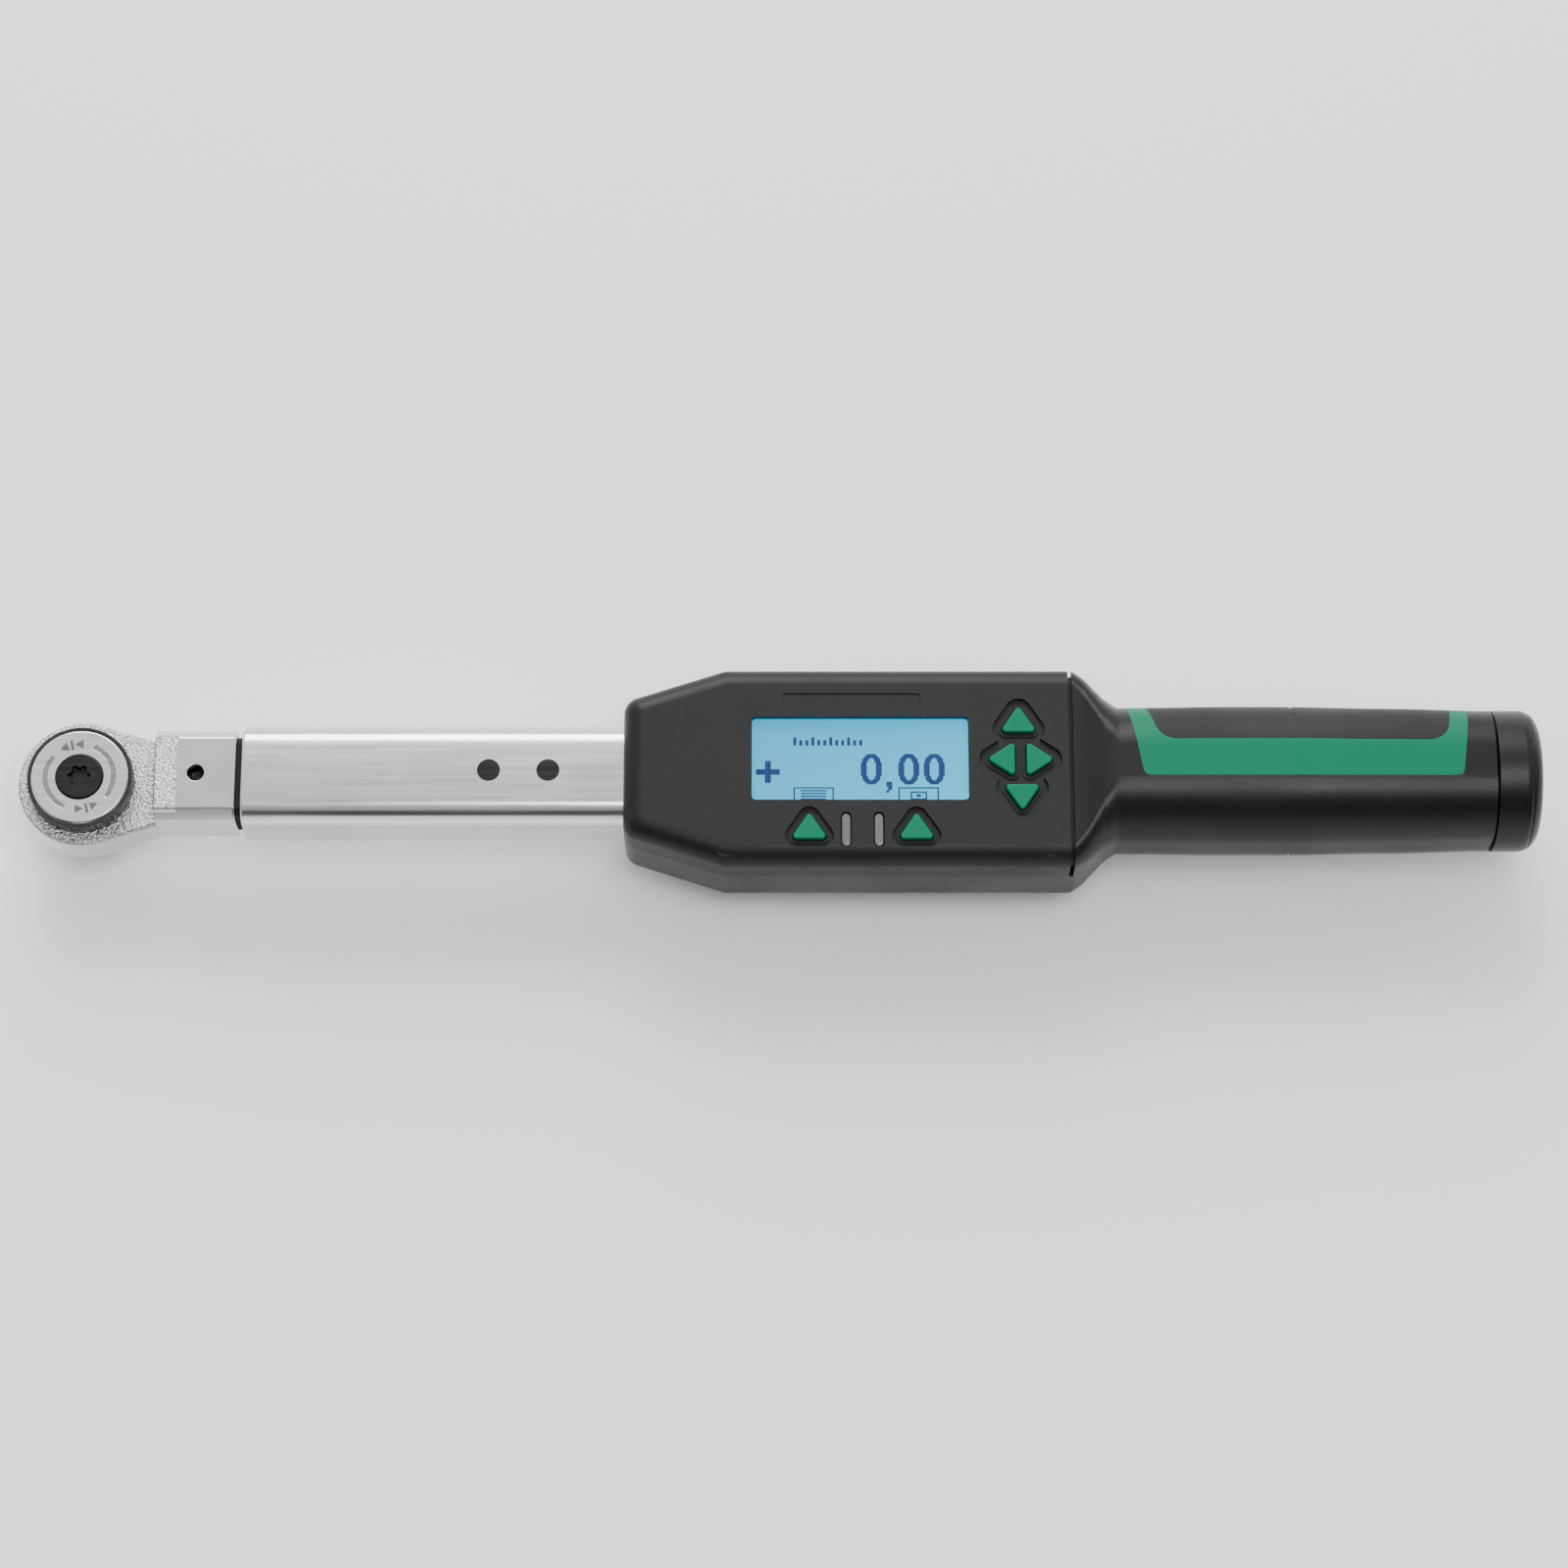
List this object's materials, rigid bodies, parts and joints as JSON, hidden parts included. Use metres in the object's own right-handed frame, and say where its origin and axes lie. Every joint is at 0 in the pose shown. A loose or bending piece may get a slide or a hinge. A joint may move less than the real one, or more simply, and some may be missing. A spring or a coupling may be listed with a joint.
{
  "type": "torque wrench",
  "caption": "Electronic torque wrench with a plug-in reversible ratchet head, steel tube, display housing with keys, and moulded grip with a screw cap.",
  "frame": {"origin": "on the square drive's axis, in the plane of the head's underside that a socket's end seats against", "axes": "+X along the wrench from the ratchet towards the end cap, +Z out of the display, away from the square drive"},
  "size_m": [0.409, 0.0552, 0.0482],
  "materials": {
    "forged_chrome": "satin forged",
    "satin_steel": "satin",
    "hard_steel": "ground",
    "spring_steel": "bright",
    "black_oxide": "black oxide",
    "housing_plastic": "fine texture",
    "handle_plastic": "semi-matt",
    "soft_grip": "soft touch",
    "green_grip": "soft touch",
    "green_key": "silk",
    "black_rubber": "matt",
    "clear_pane": "clear",
    "light_guide": "frosted",
    "display": "lit",
    "board": "solder mask",
    "contact_metal": "nickel plated",
    "cell_jacket": "printed sleeve"
  },
  "bodies": {
    "wrench": {"ratchet_body": "forged_chrome", "cover_plate": "hard_steel", "cover_screws": "black_oxide", "pawl_pin": "hard_steel", "catch_spring": "spring_steel", "measuring_beam": "satin_steel", "beam_seal": "black_rubber", "beam_pins": "black_oxide", "strain_gauges": "contact_metal", "gauge_lead": "black_rubber", "tube": "satin_steel", "display_lid": "housing_plastic", "upper_shell": "handle_plastic", "lower_shell": "handle_plastic", "shell_screws": "black_oxide", "grip_band": "green_grip", "grip_pad": "soft_grip", "main_board": "board", "display_window": "clear_pane", "display_panel": "display", "display_frame": "housing_plastic", "key_mat": "black_rubber", "key_domes": "contact_metal", "signal_lamps": "light_guide", "buzzer": "housing_plastic", "battery_sleeve": "housing_plastic", "front_contact": "contact_metal", "battery_front": "cell_jacket", "battery_rear": "cell_jacket", "light_guide_1": "light_guide", "light_guide_2": "light_guide"},
    "square_drive": {"drive_wheel": "satin_steel", "disc_screw": "black_oxide", "ball_spring": "spring_steel"},
    "socket_ball": {"detent_ball": "hard_steel"},
    "selector": {"reversing_ring": "black_oxide", "reversing_disc": "satin_steel", "reversing_plunger": "hard_steel", "plunger_spring": "spring_steel"},
    "ratchet_pawl": {"pawl": "hard_steel"},
    "insert_catch": {"catch_pin": "black_oxide"},
    "key_up_cap": {"key_up": "green_key"},
    "key_down_cap": {"key_down": "green_key"},
    "key_left_cap": {"key_left": "green_key"},
    "key_right_cap": {"key_right": "green_key"},
    "soft_key_left_cap": {"soft_key_left": "green_key"},
    "soft_key_right_cap": {"soft_key_right": "green_key"},
    "cap_carrier": {"contact_carrier": "contact_metal", "battery_spring": "spring_steel"},
    "battery_cap": {"end_cap": "handle_plastic", "cap_seal": "black_rubber"}
  },
  "joints": [
    {"name": "drive_spin", "type": "hinge", "parent": "wrench", "child": "square_drive", "pos_m": [0, 0, 0], "axis": [0, 0, 1], "continuous": true},
    {"name": "ball_press", "type": "slide", "parent": "square_drive", "child": "socket_ball", "axis": [0, 1, 0], "range_m": [0, 0.0009], "stiffness_N_per_m": 300},
    {"name": "reversing_turn", "type": "hinge", "parent": "wrench", "child": "selector", "pos_m": [0, 0, 0.0123], "axis": [0, 0, 1], "range_deg": [-29, 0]},
    {"name": "pawl_rock", "type": "hinge", "parent": "wrench", "child": "ratchet_pawl", "pos_m": [0.0156, 0, 0.0055], "axis": [0, 0, 1], "range_deg": [-2.5, 0]},
    {"name": "catch_press", "type": "slide", "parent": "wrench", "child": "insert_catch", "axis": [0, 0, -1], "range_m": [0, 0.0017], "stiffness_N_per_m": 300},
    {"name": "key_up_press", "type": "slide", "parent": "wrench", "child": "key_up_cap", "axis": [0, 0, -1], "range_m": [0, 0.0005], "stiffness_N_per_m": 300},
    {"name": "key_down_press", "type": "slide", "parent": "wrench", "child": "key_down_cap", "axis": [0, 0, -1], "range_m": [0, 0.0005], "stiffness_N_per_m": 300},
    {"name": "key_left_press", "type": "slide", "parent": "wrench", "child": "key_left_cap", "axis": [0, 0, -1], "range_m": [0, 0.0005], "stiffness_N_per_m": 300},
    {"name": "key_right_press", "type": "slide", "parent": "wrench", "child": "key_right_cap", "axis": [0, 0, -1], "range_m": [0, 0.0005], "stiffness_N_per_m": 300},
    {"name": "soft_key_left_press", "type": "slide", "parent": "wrench", "child": "soft_key_left_cap", "axis": [0, 0, -1], "range_m": [0, 0.0005], "stiffness_N_per_m": 300},
    {"name": "soft_key_right_press", "type": "slide", "parent": "wrench", "child": "soft_key_right_cap", "axis": [0, 0, -1], "range_m": [0, 0.0005], "stiffness_N_per_m": 300},
    {"name": "cap_advance", "type": "slide", "parent": "wrench", "child": "cap_carrier", "axis": [1, 0, 0], "range_m": [0, 0.0076]},
    {"name": "cap_turn", "type": "hinge", "parent": "cap_carrier", "child": "battery_cap", "pos_m": [0.38, 0, 0.0137], "axis": [1, 0, 0], "range_deg": [0, 1080]}
  ],
  "couplings": [
    {"joint": "pawl_rock", "follows": "reversing_turn", "ratio": 0.082759},
    {"joint": "cap_advance", "follows": "cap_turn", "m_per_rad": 0.00039789}
  ]
}
